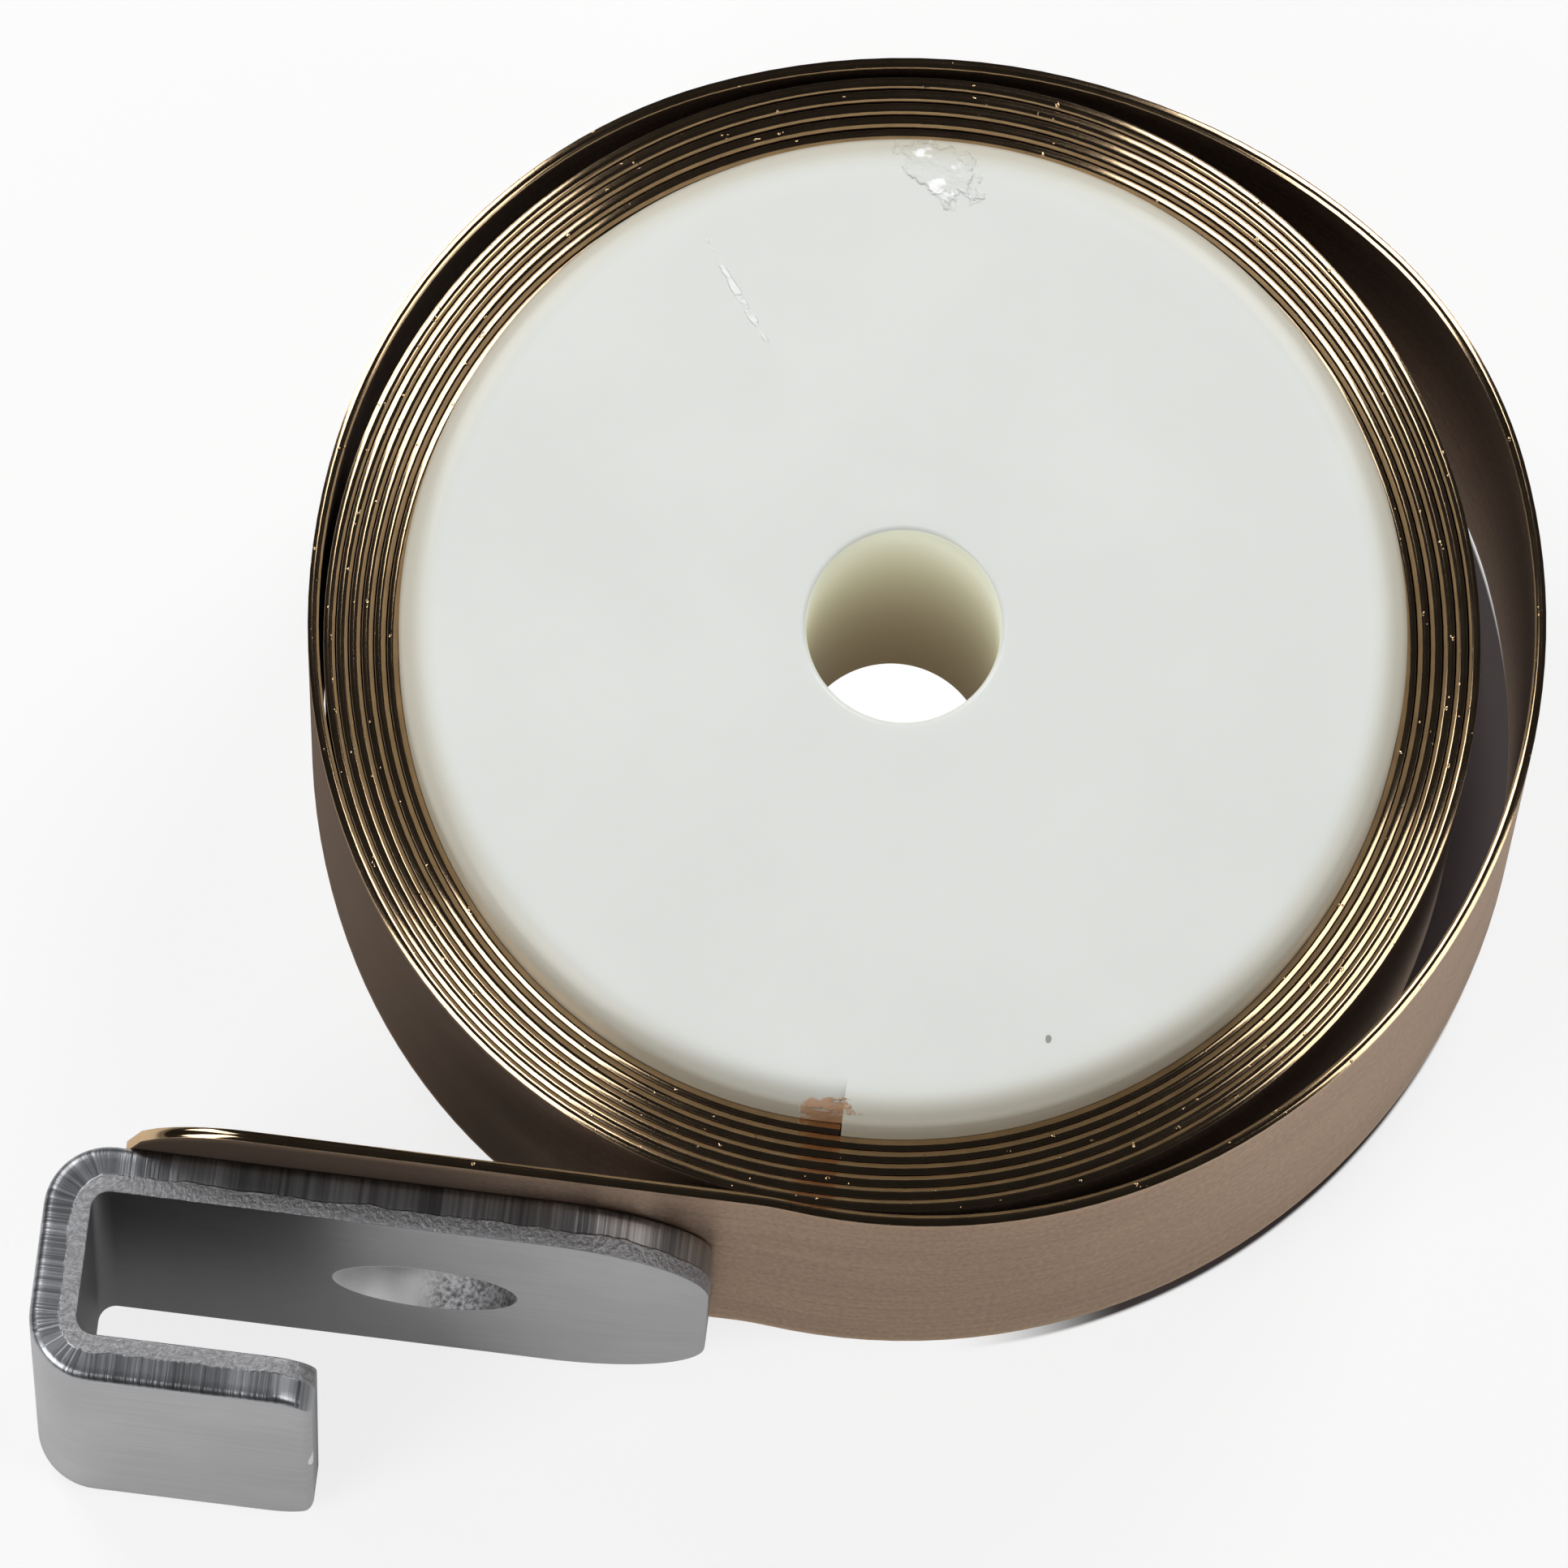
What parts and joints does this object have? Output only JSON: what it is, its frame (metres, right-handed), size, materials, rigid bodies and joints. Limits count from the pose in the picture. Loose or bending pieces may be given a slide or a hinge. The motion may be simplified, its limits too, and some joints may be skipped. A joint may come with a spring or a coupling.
{
  "type": "constant force spring",
  "caption": "Constant force spring: a flat steel strip wound on a plastic drum with a bore, its free end fixed to a bent hook clip.",
  "frame": {"origin": "on the bore's axis at the drum's lower face", "axes": "+Z along the bore's axis to the drum's front face, which stands about 3 mm above the strip's upper edge; the free end and its clip run toward -X, on the -Y side"},
  "size_m": [0.0464, 0.0473, 0.0246],
  "materials": {
    "drum_nylon": "off-white nylon, satin",
    "spring_steel": "tempered bronze-brown, fine lengthwise grain",
    "clip_aluminium": "plain mill finish, sheared edges"
  },
  "bodies": {
    "root": {"drum": "drum_nylon", "spring_strip": "spring_steel", "hook_clip": "clip_aluminium"}
  },
  "joints": []
}
